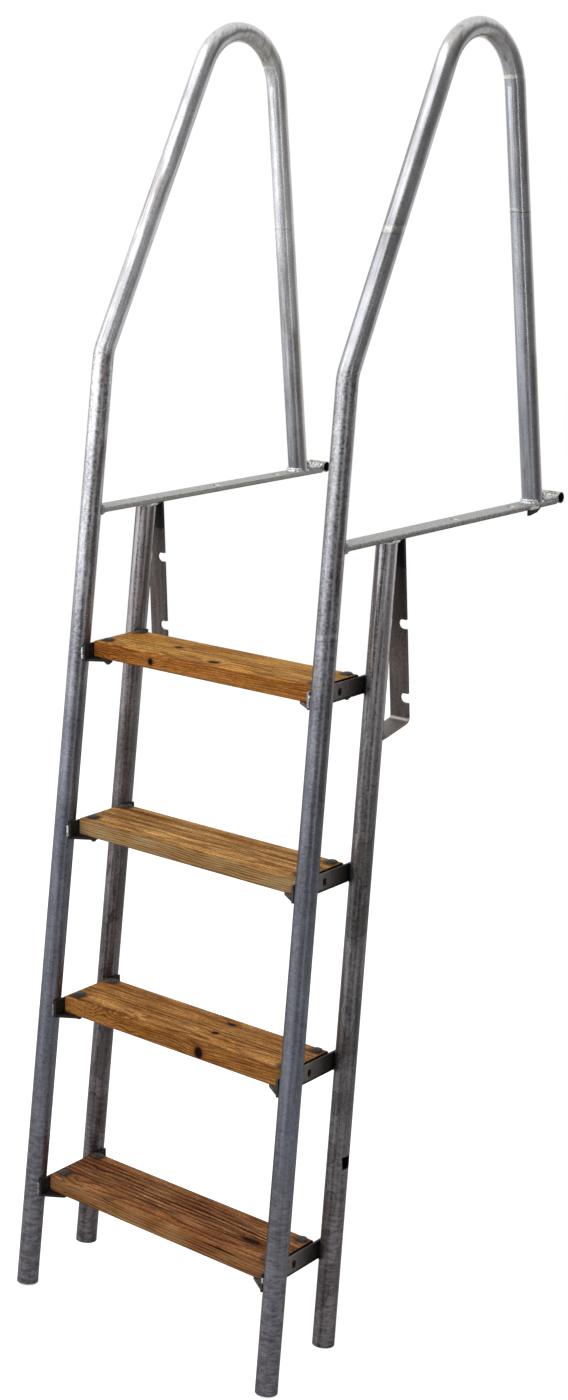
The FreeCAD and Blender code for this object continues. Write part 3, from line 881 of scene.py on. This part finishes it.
def bolt(name, x, y, top, under):
    """Round headed bolt through a step, with a washer and nut under the bracket."""
    bm = bmesh.new()
    dome = [(HEAD_R * 0.985, -0.0003), (HEAD_R, HEAD_RIM)]
    for i in range(1, 8):
        turn = pi / 2 * i / 8
        dome.append((HEAD_R * cos(turn), HEAD_RIM + (HEAD_HEIGHT - HEAD_RIM) * sin(turn)))
    dome.append((HEAD_R * 0.05, HEAD_HEIGHT))
    revolved(bm, dome, Vector((x, y, top)), 32)
    revolved(bm, [(WASHER_R, -WASHER_THICKNESS), (WASHER_R, 0.0)], Vector((x, y, under)), 28)
    corner = NUT_ACROSS_FLATS / sqrt(3.0)
    nut_top = under - WASHER_THICKNESS
    nut = [(corner * 0.9, -NUT_HEIGHT), (corner, -NUT_HEIGHT + NUT_CHAMFER), (corner, 0.0)]
    revolved(bm, nut, Vector((x, y, nut_top)), 6, random.Random(name).uniform(0, pi / 3))
    thread = [(SHANK_R * 0.7, 0.0)]
    turns = int((THREAD_SHOWN + 0.001) / THREAD_PITCH)
    for i in range(turns + 1):
        thread.append((SHANK_R, THREAD_START + i * THREAD_PITCH))
        thread.append((SHANK_R - THREAD_DEPTH, THREAD_START + (i + 0.5) * THREAD_PITCH))
    revolved(bm, thread, Vector((x, y, nut_top - NUT_HEIGHT - THREAD_SHOWN)), 20)
    add_piece(name, bm, MATERIALS["bolt"], "galvanized_angle", False)


def bolt_places(number):
    """The four bolts of a step, as (row and end, x, y)."""
    low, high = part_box(f"step_{number}")
    for row, y in (("front", low.y + BOLT_FROM_FRONT), ("rear", high.y - BOLT_FROM_REAR)):
        for end, x in (("left", low.x + BOLT_FROM_END), ("right", high.x - BOLT_FROM_END)):
            yield f"{end}_{row}", x, y


def step_bolts(number):
    """Bolts of one step."""
    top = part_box(f"step_{number}")[1].z
    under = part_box(f"right_bracket_{number}")[0].z
    for corner, x, y in bolt_places(number):
        bolt(f"bolt_{number}_{corner}", x, y, top, under)


# Timber of each step. Distances are from the left end, the front edge and the top face, in metres. pith is
# where the tree's heart lies, with climb and drift along the board; ring is the growth of one year. swirl
# is (place, reach, strength) of wild grain. furrows are the worn bands along the top, as (back, half
# width); depth is how far they are worn down, worn how dark they are, and pinch draws them together to the
# right. calm is how much of the fibres' shading the front face loses. early, tone and late colour the pale
# and the dark rings. top tints the whole board, painted light for its top, and front tints the front face,
# painted shade that also shifts its colour. knots are (place, half sizes).
WOOD = {
    1: dict(
        pith=(0.014, -0.047), climb=0.014, drift=0.006, ring=0.0036, swirl=(0.05, 0.11, 0.0075), seed=3,
        furrows=((0.03, 0.0017), (0.039, 0.0013), (0.052, 0.0022), (0.061, 0.0013), (0.073, 0.0018),
                 (0.084, 0.002), (0.095, 0.0015), (0.103, 0.0013)),
        depth=0.0002, worn=0.62, pinch=0.0, calm=0.35,
        early=rgb(216, 160, 84), late=rgb(112, 58, 18), tone=rgb(192, 132, 60),
        top=(1.11, 1.14, 1.19, 1.0), front=(0.533, 0.411, 0.336, 1.0),
        knots=(((0.14, 0.062, 0.0), (0.0062, 0.0046, 0.004)),
               ((0.2545, 0.02, 0.0), (0.0085, 0.0056, 0.004)),
               ((0.132, 0.0, -0.0152), (0.0048, 0.005, 0.005)))),
    2: dict(
        pith=(0.026, -0.052), climb=-0.004, drift=0.004, ring=0.0032, swirl=(0.3, 0.1, 0.0016), seed=14,
        furrows=((0.0036, 0.0013), (0.05, 0.0058), (0.0675, 0.0066), (0.0905, 0.0078)),
        depth=0.00055, worn=0.85, pinch=0.0, calm=0.75,
        early=rgb(200, 158, 100), late=rgb(96, 56, 20), tone=rgb(190, 140, 78),
        top=(1.2, 1.15, 1.07, 1.0), front=(0.592, 0.682, 0.925, 1.0),
        knots=()),
    3: dict(
        pith=(0.022, -0.05), climb=0.012, drift=-0.006, ring=0.004, swirl=(0.07, 0.1, 0.011), seed=25,
        furrows=((0.008, 0.0042), (0.049, 0.003), (0.0585, 0.0022), (0.08, 0.002), (0.093, 0.0048)),
        depth=0.0003, worn=0.7, pinch=0.0, calm=0.4,
        early=rgb(196, 142, 80), late=rgb(92, 46, 14), tone=rgb(174, 120, 60),
        top=(1.1, 1.09, 1.08, 1.0), front=(0.637, 0.573, 0.499, 1.0),
        knots=(((0.2976, 0.0486, 0.0), (0.0052, 0.0045, 0.004)),
               ((0.2958, 0.0927, 0.0), (0.008, 0.004, 0.004)),
               ((0.3045, 0.0, -0.0154), (0.0075, 0.006, 0.0085)))),
    4: dict(
        pith=(0.03, -0.05), climb=-0.008, drift=0.004, ring=0.0038, swirl=(0.03, 0.08, 0.004), seed=36,
        furrows=((0.034, 0.003), (0.043, 0.0026), (0.0535, 0.003), (0.0625, 0.0026), (0.073, 0.0034),
                 (0.084, 0.0028), (0.093, 0.0022)),
        depth=0.00055, worn=0.9, pinch=0.42, calm=0.7,
        early=rgb(172, 122, 80), late=rgb(44, 18, 6), tone=rgb(150, 94, 54),
        top=(1.08, 1.03, 0.95, 1.0), front=(0.778, 0.866, 0.905, 1.0),
        knots=(((0.41, 0.0467, 0.0), (0.017, 0.005, 0.004)),
               ((0.055, 0.0685, 0.0), (0.01, 0.0018, 0.003)),
               ((0.38, 0.0, -0.0045), (0.03, 0.004, 0.0011)))),
}
PLANK_EDGE_RADIUS = 0.004
CORNER_PARTS = 6
TOP_SPACING = 0.0009
FRONT_SPACING = 0.0011
UNDER_SPACING = 0.004
LENGTH_SPACING = 0.0042
END_BEVEL = 0.0012
# The furrows run over the long edges down to this depth
FURROWED_DEPTH = 0.0012
PINCH_FROM = 0.26
PINCH_FULL = 0.48


def growth(wood, x, y, z):
    """Number of the growth ring at a place in the board."""
    wander = noise.noise(Vector((x * 5, wood["seed"], 0.0))) * 0.004
    lift = noise.noise(Vector((x * 7, 0.0, wood["seed"]))) * 0.003
    across = y - wood["pith"][0] - wood["drift"] * x - wander
    down = z - wood["pith"][1] - wood["climb"] * (x - 0.24) - lift
    reach = hypot(across, down)
    reach += 0.001 * noise.noise(Vector((x * 16, y * 60, z * 60 + wood["seed"])))
    place, width, strength = wood["swirl"]
    wild = strength * exp(-(((x - place) / width) ** 2) - (y / 0.03) ** 2)
    reach += wild * noise.noise(Vector((x * 26, y * 30, z * 55 + wood["seed"])))
    for centre, size in wood["knots"]:
        gap = Vector(((x - centre[0]) / 2, y - centre[1], z - centre[2])).length
        reach += 0.006 * exp(-((gap / (size[2] * 2.6)) ** 2))
    return reach / wood["ring"]


def furrow_share(wood, x, y):
    """How deep in a worn furrow a place on the top is, from 0 to 1."""
    drawn = wood["pinch"] * max(0.0, x - PINCH_FROM) / (PINCH_FULL - PINCH_FROM)
    back = y + (y - 0.05) * drawn / (1.0 - drawn)
    back += 0.0016 * noise.noise(Vector((x * 9, y * 25, wood["seed"])))
    share = 0.0
    for centre, half in wood["furrows"]:
        ragged = half * (1.0 + 0.45 * noise.noise(Vector((x * 22, centre * 300, wood["seed"]))))
        share = max(share, min(1.0, max(0.0, 1.35 - abs(back - centre) / ragged)))
    faint = 0.72 + 0.55 * noise.noise(Vector((x * 8, y * 40, wood["seed"] + 5.0)))
    return share * min(1.0, max(0.15, faint))


def plank_outline(width, thickness):
    """Points round a step's section from its rear top, as (distance back, height from the top)."""
    radius = PLANK_EDGE_RADIUS
    flat = width - 2 * radius
    climb = thickness - 2 * radius
    count = int(flat / TOP_SPACING)
    points = [(width - radius - flat * i / count, 0.0) for i in range(count + 1)]
    corners = ((radius, -radius, 90), (radius, -thickness + radius, 180),
               (width - radius, -thickness + radius, 270), (width - radius, -radius, 0))
    for index, (y, z, start) in enumerate(corners):
        for i in range(CORNER_PARTS + 1):
            turn = radians(start + 90 * i / CORNER_PARTS)
            points.append((y + radius * cos(turn), z + radius * sin(turn)))
        if index in (0, 2):
            rows = int(climb / FRONT_SPACING)
            shares = [i / rows if index == 0 else 1.0 - i / rows for i in range(1, rows)]
            points += [(0.0 if index == 0 else width, -radius - climb * share) for share in shares]
        if index == 1:
            rows = int(flat / UNDER_SPACING)
            points += [(radius + flat * i / rows, -thickness) for i in range(1, rows)]
    return points[:-1]


def step_board(number):
    """Timber step with rounded long edges and worn furrows along its top."""
    wood = WOOD[number]
    low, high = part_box(f"step_{number}")
    length, width, thickness = high - low
    outline = plank_outline(width, thickness)
    stations = int(length / LENGTH_SPACING)
    bm = bmesh.new()
    ring_layer = bm.verts.layers.float.new("growth")
    furrow_layer = bm.verts.layers.float.new("furrow")
    # Stations along the board, as (distance from its left end, how far its faces are drawn in)
    ends = ((0.0, END_BEVEL), (END_BEVEL, 0.0))
    places = list(ends) + [(length * i / stations, 0.0) for i in range(1, stations)]
    places += [(length - x, inset) for x, inset in reversed(ends)]
    rows = []
    for x, inset in places:
        row = []
        for y, z in outline:
            worn = furrow_share(wood, x, y) if z > -FURROWED_DEPTH else 0.0
            shrink_y = (width / 2 - y) * inset / (width / 2)
            shrink_z = (-thickness / 2 - z) * inset / (thickness / 2)
            sunk = wood["depth"] * worn
            vertex = bm.verts.new((low.x + x, low.y + y + shrink_y, high.z + z + shrink_z - sunk))
            vertex[ring_layer] = growth(wood, x, y, z)
            vertex[furrow_layer] = worn
            row.append(vertex)
        rows.append(row)
    join_rings(bm, rows)
    board = add_piece(f"step_{number}_board", bm, timber(number), f"timber_{number}")
    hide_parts(f"step_{number}")


def timber(number):
    """Weathered softwood: growth rings, worn furrows, fibres, knots and iron stains round the bolts, with
    painted light on the top and painted shade on the front face and the ends.
    """
    look = WOOD[number]
    low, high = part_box(f"step_{number}")
    wood = Shader(f"timber_{number}_wood")
    across, back, height = wood.axes
    rings = wood.node("Attribute", attribute_name="growth").outputs["Fac"]
    furrow = wood.node("Attribute", attribute_name="furrow").outputs["Fac"]
    lengthwise = (0.045, 1.0, 1.0)
    fibres = wood.speckle(520, 3, 0.65, lengthwise)
    streaks = wood.speckle(170, 3, 0.6, lengthwise, low=0.28, high=0.72)
    flecks = wood.speckle(430, 2, 0.7, (0.4, 1, 1))
    patches = wood.noise(30 + number, stretch=(0.3, 1, 1))

    part = wood.math("FRACT", wood.scaled(streaks, 0.5, rings))
    line = wood.times(wood.step(part, 0.36, 0.84), wood.step(part, 1.0, 0.93))
    late = wood.math("MULTIPLY", line, wood.scaled(patches, 1.5, -0.02), clamp=True)
    wood.colour = wood.mix(wood.step(patches, 0.34, 0.66), look["early"], look["tone"])
    wood.paint(look["late"], late, 0.85)
    worn = wood.math("MULTIPLY", wood.times(furrow, look["worn"]), wood.scaled(streaks, 0.75, 0.6),
                     clamp=True)
    wood.paint(look["late"], worn)
    shade = wood.times(wood.scaled(fibres, 0.92, 0.55), wood.scaled(flecks, 0.7, 0.65),
                       wood.scaled(streaks, 0.36, 0.84))
    on_front = wood.step(back, low.y + 0.003, low.y + 0.0008)
    calm = wood.times(on_front, look["calm"])
    shade = wood.scaled(calm, wood.minus(0.98, shade), shade)
    # The fibres' streaks, then top's painted light over the whole board and front's painted shade on the
    # front face.
    for share, tint in ((1.0, shade), (1.0, look["top"]), (on_front, look["front"])):
        wood.colour = wood.mix(share, wood.colour, tint, blend="MULTIPLY")

    # A darker, greenish band at the rear edge of the board.
    near_rear_edge = wood.step(wood.scaled(streaks, 0.006, back), high.y - 0.0015, high.y + 0.0015)
    wood.paint(rgb(58, 54, 38), near_rear_edge, 0.75)
    # A patchy darker band along the bottom of the board.
    below = wood.step(wood.scaled(streaks, -0.005, height), low.z - 0.0002, low.z - 0.0026)
    wood.paint(rgb(52, 36, 22), below, 0.6)
    # Painted shade: the board's ends are painted nearly black, wider at the left end.
    for end, stained in ((low.x, 0.003), (high.x, 0.0016)):
        wood.paint(rgb(16, 12, 9), wood.step(wood.gap(across, end), stained, stained * 0.4))
    for centre, size in look["knots"]:
        place = Vector((low.x + centre[0], low.y + centre[1], high.z + centre[2]))
        wood.paint(rgb(106, 50, 18), wood.spot(place, Vector(size) * 1.9, 0.5), 0.6)
        wood.paint(rgb(20, 7, 3), wood.spot(place, Vector(size) * 1.15, 0.3))
    for _, x, y in bolt_places(number):
        wood.paint(rgb(52, 34, 22), wood.spot((x, y, high.z), (0.0155, 0.0145, 0.006), 0.3), 0.6)
    relief = wood.scaled(late, -0.6, wood.times(fibres, 0.8))
    return wood.finish(wood.scaled(late, -0.1, 0.68), relief, 0.0007, 0.7, 0.0, 0.05)


# Studio
FLOOR_SIZE = 6.4
FLOOR_GAP = 0.0005
FLOOR_GREY = (0.82, 0.82, 0.82, 1.0)
FLOOR_GLOW = 0.75
DIFFUSE_SKY = 0.4
DARK_SIDE = Vector((0.98, -0.2, 0.0)).normalized()
DARKEST = 0.16
WHITE = (1.0, 1.0, 1.0, 1.0)
DARK_TINT = (1.0, 0.93, 0.89, 1.0)
LAMP_AIM = Vector((-0.26, 0.0, 0.0))


def studio_floor():
    """Pale floor under the feet. It glows to the camera, so that it stays white outside the shadow."""
    bm = bmesh.new()
    bmesh.ops.create_grid(bm, x_segments=8, y_segments=8, size=FLOOR_SIZE / 2)
    mesh = bpy.data.meshes.new("studio_floor")
    bm.to_mesh(mesh)
    bm.free()
    floor = placed("studio_floor", mesh)
    floor.location = (MIDWAY, 0, CAD_LOW.z - FLOOR_GAP)
    material = bpy.data.materials.new("floor_white")
    nodes = Nodes(material)
    diffuse = nodes.node("BsdfDiffuse", {"Color": FLOOR_GREY})
    seen = nodes.node("LightPath").outputs["Is Camera Ray"]
    glow = nodes.node("Emission", {"Strength": nodes.times(seen, FLOOR_GLOW)})
    both = nodes.node("AddShader", {0: diffuse.outputs[0], 1: glow.outputs[0]})
    nodes.node("OutputMaterial", {0: both.outputs[0]})
    mesh.materials.append(material)


def studio_world():
    """White to the camera; softer to the object, and darker on the right for what the metal reflects."""
    world = bpy.data.worlds.new("studio_world")
    bpy.context.scene.world = world
    nodes = Nodes(world)
    rays = nodes.node("LightPath").outputs
    direction = nodes.node("TexCoord").outputs["Generated"]
    light_side = nodes.step(nodes.vector("DOT_PRODUCT", direction, DARK_SIDE), 0.15, 0.8, 1.0, DARKEST)
    strength = nodes.mix(rays["Is Glossy Ray"], DIFFUSE_SKY, light_side, "FLOAT")
    strength = nodes.mix(rays["Is Camera Ray"], strength, 1.0, "FLOAT")
    tinted = nodes.times(nodes.minus(1.0, light_side), rays["Is Glossy Ray"])
    sky = {"Color": nodes.mix(tinted, WHITE, DARK_TINT), "Strength": strength}
    nodes.node("OutputWorld", {0: nodes.node("Background", sky).outputs[0]})


def soft_lamp(name, place, size, power):
    """Rectangular soft lamp that faces the ladder."""
    lamp = bpy.data.lights.new(name, "AREA")
    lamp.shape = "RECTANGLE"
    lamp.size, lamp.size_y = size
    lamp.energy = power
    holder = placed(name, lamp)
    holder.location = place
    holder.rotation_euler = (LAMP_AIM - Vector(place)).to_track_quat("-Z", "Y").to_euler()


def photo_camera():
    """Camera of the photograph. The shift frames the object as the photograph's crop does."""
    camera = bpy.data.cameras.new("photo_camera")
    camera.sensor_width = SENSOR_MM
    camera.lens = FOCAL_PIXELS * SENSOR_MM / PHOTO_HEIGHT
    camera.shift_y = (PRINCIPAL_ROW - PHOTO_HEIGHT / 2) / PHOTO_HEIGHT
    camera.clip_end = 60.0
    holder = placed("photo_camera", camera)
    holder.location = CAMERA_PLACE
    holder.rotation_euler = [radians(angle) for angle in CAMERA_TURN_DEG]
    bpy.context.scene.camera = holder


dress_frame()
weld_frames()
for step_number in STEPS:
    step_board(step_number)
    step_bolts(step_number)
studio_floor()
studio_world()
soft_lamp("key_lamp", place=(-1.34, -2.63, 1.85), size=(5.3, 5.0), power=112.0)
soft_lamp("strip_lamp", place=(2.6, -1.55, 0.2), size=(0.45, 3.0), power=7.0)
photo_camera()
bpy.context.scene.view_settings.view_transform = "Standard"
